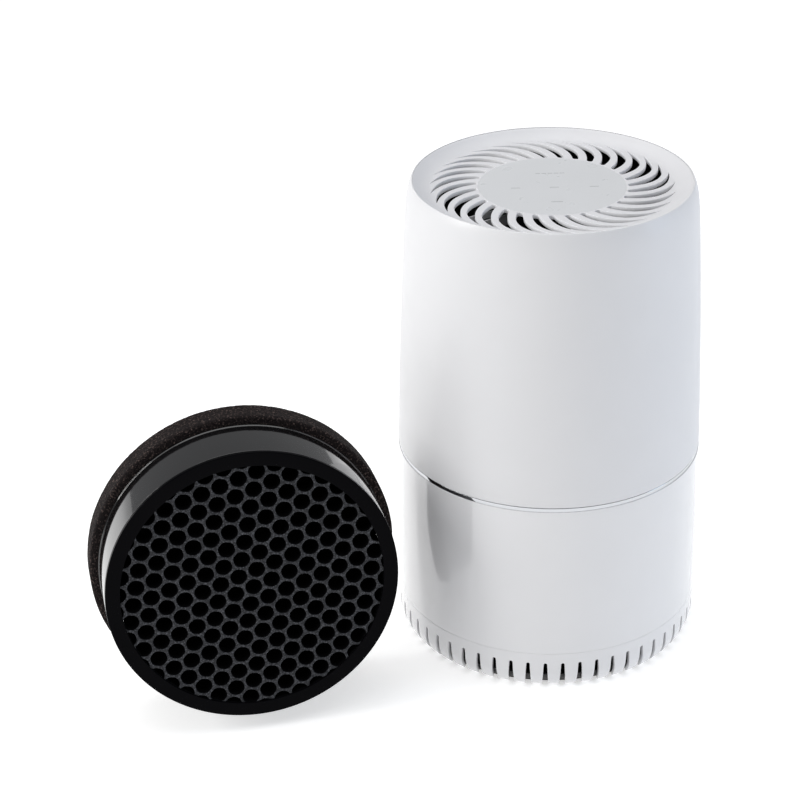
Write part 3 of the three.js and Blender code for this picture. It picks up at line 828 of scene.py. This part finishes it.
def build_top_grille():
    """A sector of plate between each two slots, all joined inside the slots and outside them."""
    rows, columns = grille_rows(), 8
    period = TURN / GRILLE_SLOTS
    vertices, faces = [], []
    for i in range(GRILLE_SLOTS):
        slot = SLOT_PHASE + i * period
        start = len(vertices)
        for r, far, near in rows:
            for k in range(columns + 1):
                a = slot + far + (period + near - far) * k / columns
                vertices.append((r * MM * math.cos(a), r * MM * math.sin(a), grille_height(r * MM)))
        for j in range(len(rows) - 1):
            for k in range(columns):
                corner = start + j * (columns + 1) + k
                above = corner + columns + 1
                faces.append((corner, above, above + 1, corner + 1))
    piece = from_lists("top_grille_plate", vertices, faces)
    if piece.data.polygons[0].normal.z < 0:
        piece.data.flip_normals()
    thicken(piece, GRILLE_DEPTH, 0.35 * MM, 35, 50)
    finish_piece(piece, "housing", "top_grille", LOOKS["satin_white"])
    # The slot walls get a lighter white than the plate: painted light.
    piece.data.materials.append(LOOKS["painted_lit_slot_wall"])
    slots_end = 81 * MM
    for face in piece.data.polygons:
        if abs(face.normal.z) < 0.6 and math.hypot(face.center.x, face.center.y) < slots_end:
            face.material_index = 1


def dash(x, y, width):
    """A printed dash on the panel, with its middle and width in millimetres."""
    piece = from_lists("stroke", *block((0, 0, 0), (width * MM, 0.8 * MM, 0.06 * MM)))
    piece.data.transform(Matrix.Translation((x * MM, y * MM, GRILLE_Z)))
    return piece


def build_control_panel():
    """A flat panel level with the grille, printed with three rows of plain dashes."""
    low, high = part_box("control_panel")
    radius, edge = high.x + 0.37 * MM, 0.06 * MM
    piece = lathe("control_panel_face", [
        (0, low.z), (radius, low.z), (radius, GRILLE_Z - edge), (radius - edge, GRILLE_Z),
        (0, GRILLE_Z)], 256, 30)
    finish_piece(piece, "housing", "control_panel", LOOKS["panel_grey"])
    dashes = [dash(x, 21, 3) for x in (-8, -4, 0, 4, 8)]
    dashes += [dash(x, -3, 6) for x in (-24, 1, 27)]
    dashes.append(dash(1, -27, 7.4))
    finish_piece(join("panel_marks", dashes), "housing", None, LOOKS["panel_marks"])


def build_power_inlet():
    """A socket with a rounded pocket and two pins."""
    low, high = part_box("power_inlet")
    middle = (low + high) / 2
    depth = high.y - low.y
    piece = from_lists("power_inlet_shell", *block(middle, high - low))
    soften(piece, 1.2 * MM, 40, 3)
    apply_modifiers(piece)
    pocket_place = middle + Vector((0, 1.5 * MM, 0))
    pocket = from_lists("pocket", *block(pocket_place, (14 * MM, depth, 8 * MM)))
    soften(pocket, 2.4 * MM, 40, 4)
    apply_modifiers(pocket)
    cut(piece, pocket)
    soften(piece, 0.35 * MM, 50, 2)
    apply_modifiers(piece)
    finish_piece(piece, "housing", "power_inlet", LOOKS["dark_plastic"])
    radius, length, spread = 1.15 * MM, 6 * MM, 4.3 * MM
    for side in (-1, 1):
        pin = lathe("inlet_pin", fillet([
            (0, 0, 0), (radius, 0, 0), (radius, length, 0.5 * MM), (0, length, 0)]), 32)
        turn = Matrix.Rotation(math.radians(-90), 4, "X")
        place = (spread * side, low.y + 1.2 * MM, middle.z)
        pin.data.transform(Matrix.Translation(place) @ turn)
        finish_piece(pin, "housing", "power_inlet", LOOKS["steel"])


# ---- filter ----


def build_filter_hoop(place):
    """The glossy band, with a small lip where the foam begins."""
    inner, outer = FILTER_RADIUS - HOOP_WALL, FILTER_RADIUS
    lip, back = FILTER_RADIUS + 0.6 * MM, FILTER_RADIUS - 0.4 * MM
    front_z, back_z = -2.6 * MM, 1.4 * MM - FILTER_DEPTH
    outline = fillet([
        (inner, front_z, 0), (outer, front_z, 0.3 * MM),
        (outer, 1 * MM - HOOP_DEPTH, 0.5 * MM), (lip, 0.4 * MM - HOOP_DEPTH, 0.3 * MM),
        (lip, -HOOP_DEPTH - 0.6 * MM, 0.3 * MM), (back, -HOOP_DEPTH - 0.8 * MM, 0.2 * MM),
        (back, back_z, 0.3 * MM), (inner, back_z, 0.3 * MM)])
    piece = lathe("filter_hoop_band", outline, 256, 30, place)
    finish_piece(piece, "filter", "filter_hoop", LOOKS["gloss_black"])


def build_face_rim(place):
    """The flat ring round the honeycomb."""
    outer, back_z = FILTER_RADIUS - 0.1 * MM, -2.3 * MM
    piece = lathe("face_rim_ring", fillet([
        (FACE_RADIUS, back_z, 0), (outer, back_z, 0), (outer, 0, 0.6 * MM),
        (FACE_RADIUS, 0, 0.5 * MM)], 5), 256, 30, place)
    finish_piece(piece, "filter", "face_rim", LOOKS["rim_black"])


def hexagon_reach(a, pitch):
    """The distance from a cell's middle to its hexagon's edge, in a direction in radians."""
    return pitch / 2 / math.cos((a + math.pi / 6) % (math.pi / 3) - math.pi / 6)


def build_honeycomb(place):
    """Rounded hexagonal cells whose walls run down to a dark bed of granules, with painted shade on the
    walls inside.
    """
    pitch, wall, sides = 12.4 * MM, 1.75 * MM, 24
    top, floor = -0.9 * MM, -14.6 * MM
    limit = FACE_RADIUS - 0.1 * MM
    lean = math.radians(17.2)
    along = Vector((math.cos(lean), math.sin(lean))) * pitch
    other = Vector((math.cos(lean + math.pi / 3), math.sin(lean + math.pi / 3))) * pitch
    widest = (pitch - wall) / 2 * 1.035
    vertices, faces = [], []

    def mouth(a, grow):
        return min(hexagon_reach(a, pitch) - wall * 0.51, widest) + grow

    def add_ring(center, z, grow=None):
        """Adds a ring of points: the cell's hexagon, or its mouth grown by a distance."""
        start = len(vertices)
        for s in range(sides):
            a = TURN * s / sides
            reach = hexagon_reach(a, pitch) if grow is None else mouth(a, grow)
            p = center + Vector((math.cos(a + lean), math.sin(a + lean))) * reach
            if p.length > limit:
                p = p.normalized() * limit
            vertices.append((p.x, p.y, z))
        return start

    steps = int(limit / pitch) + 3
    for i in range(-steps, steps + 1):
        for j in range(-steps, steps + 1):
            center = along * i + other * j
            if center.length > limit + pitch * 0.35:
                continue
            rings = [
                add_ring(center, top),
                add_ring(center, top, 0.25 * MM),
                add_ring(center, top - 0.12 * MM, 0.06 * MM),
                add_ring(center, top - 0.4 * MM, 0),
                add_ring(center, floor, -0.2 * MM),
            ]
            for one, two in zip(rings, rings[1:]):
                for s in range(sides):
                    n = (s + 1) % sides
                    faces.append((one + s, one + n, two + n, two + s))
    cells = from_lists("honeycomb_cells", vertices, faces, 40)
    if sum(face.normal.z for face in cells.data.polygons) < 0:
        cells.data.flip_normals()
    cells.data.transform(place)
    finish_piece(cells, "filter", "carbon_honeycomb", LOOKS["carbon_black"])
    # The cells' inner walls get the granules' near-black as painted shade; the tops keep the carbon
    # colour.
    cells.data.materials.append(LOOKS["granules_and_cell_shade"])
    outward = place.to_3x3() @ Vector((0, 0, 1))
    for face in cells.data.polygons:
        face.material_index = 0 if face.normal.dot(outward) > 0.5 else 1
    bed_low = floor - 0.4 * MM
    bed = lathe("carbon_bed", [(0, bed_low), (limit, bed_low), (limit, floor), (0, floor)],
                128, 30, place)
    finish_piece(bed, "filter", "carbon_honeycomb", LOOKS["granules_and_cell_shade"])


def dense_outline(outline, step):
    """The same closed outline, with points no further apart than about a step."""
    dense = []
    for i, (r, z) in enumerate(outline):
        r1, z1 = outline[(i + 1) % len(outline)]
        count = max(1, round(math.hypot(r1 - r, z1 - z) / step))
        dense += [(r + (r1 - r) * k / count, z + (z1 - z) * k / count) for k in range(count)]
    return dense


def build_foam(place):
    """A foam strip with soft corners and a torn, porous surface."""
    inner, front, back = FILTER_RADIUS - 0.1 * MM, -HOOP_DEPTH - 1.1 * MM, -FILTER_DEPTH
    corners = [(inner, back, 0.5 * MM), (FOAM_RADIUS, back, 2.2 * MM),
               (FOAM_RADIUS, front, 2.4 * MM), (inner, front, 0.5 * MM)]
    piece = lathe("foam_strip", dense_outline(fillet(corners, 6), 1.1 * MM), 560, 80)
    middle = (front + back) / 2
    for vertex in piece.data.vertices:
        p = vertex.co
        radius = math.hypot(p.x, p.y)
        if radius < inner + 0.3 * MM:
            continue
        torn = noise.noise(p * 900) * 0.28 * MM + noise.noise(p * 260) * 0.22 * MM
        sag = noise.noise(p * 40) * 0.35 * MM
        pull = max(0.0, torn) + 0.25 * MM + sag * 0.5
        scale = (radius - max(pull, 0)) / radius
        side = 1 if p.z < middle else -1
        vertex.co = Vector((p.x * scale, p.y * scale, p.z + torn * 0.4 * side))
    for vertex in piece.data.vertices:
        vertex.co.z = max(vertex.co.z, back)
    piece.data.transform(place)
    finish_piece(piece, "filter", "foam_seal", LOOKS["foam"])


def build_pleats(place):
    """The pleated particle filter, seen from behind."""
    pitch, depth, thickness = 4.8 * MM, 7 * MM, 0.45 * MM
    limit = FILTER_RADIUS - 3.2 * MM
    low = 4.9 * MM - FILTER_DEPTH
    strips = 20
    count = int(limit / (pitch / 2))
    vertices, faces = [], []
    for k in range(-count, count + 1):
        y = k * pitch / 2
        half = math.sqrt(max(limit**2 - y**2, 0))
        fold = low if k % 2 else low + depth
        for s in range(strips + 1):
            x = half * (2 * s / strips - 1)
            sway = noise.noise(Vector((x * 40, y * 300, 0))) * 0.35 * MM
            rise = noise.noise(Vector((x * 60, y * 90, 5))) * 0.2 * MM
            vertices.append((x, y + sway, fold + thickness * 0.5 + rise))
    for k in range(2 * count):
        for s in range(strips):
            a = k * (strips + 1) + s
            faces.append((a, a + 1, a + strips + 2, a + strips + 1))
    piece = from_lists("pleated_paper", vertices, faces, 60)
    solidify = piece.modifiers.new("solidify", "SOLIDIFY")
    solidify.thickness = thickness
    solidify.offset = 0
    soften(piece, 0.15 * MM, 50, 2)
    apply_modifiers(piece, 40)
    piece.data.transform(place)
    finish_piece(piece, "filter", "filter_paper", LOOKS["filter_paper"])


def build_back_ring(place):
    """A ring with two crossed spokes that holds the paper."""
    inner, outer = 84 * MM, FILTER_RADIUS - 2.8 * MM
    low = 1.5 * MM - FILTER_DEPTH
    high = low + 2.8 * MM
    rim = lathe("rim", fillet([
        (inner, low, 0.6 * MM), (outer, low, 0.3 * MM), (outer, high, 0),
        (inner, high, 0.3 * MM)]), 192)
    spokes = []
    spoke_size = (2 * inner + 1.2 * MM, 4 * MM, 2.7 * MM)
    for azimuth in (0, 90):
        spoke_mesh = block((0, 0, (low + high) / 2), spoke_size, math.radians(azimuth))
        spoke = from_lists("spoke", *spoke_mesh)
        soften(spoke, 0.5 * MM)
        apply_modifiers(spoke)
        spokes.append(spoke)
    piece = join("back_ring_spokes", [rim, *spokes])
    piece.data.transform(place)
    finish_piece(piece, "filter", "filter_back_ring", LOOKS["dark_plastic"])


# ---- CAD nodes that keep their shape ----


def dress_nodes():
    """Gives each CAD node its slot's finish and softened edges."""
    slots = {row["node"]: row["material_slot"] for row in frame["record"]["subparts"]}
    for name, node in frame["nodes"].items():
        node.data.materials.clear()
        node.data.materials.append(LOOKS[slots[name]])
        weld = node.modifiers.new("weld", "WELD")
        weld.merge_threshold = 1e-6
        soften(node, 0.2 * MM, 40, 2)


# ---- the model ----

add_camera()
add_lamps()
add_world()
build_floor()
dress_nodes()
build_upper_housing()
build_lower_housing()
build_trim_ring()
build_base_cup()
build_base_plate()
build_intake_cage()
build_lock_ring()
build_power_inlet()
build_top_grille()
build_control_panel()
filter_place = filter_matrix()
build_filter_hoop(filter_place)
build_face_rim(filter_place)
build_honeycomb(filter_place)
build_foam(filter_place)
build_pleats(filter_place)
build_back_ring(filter_place)
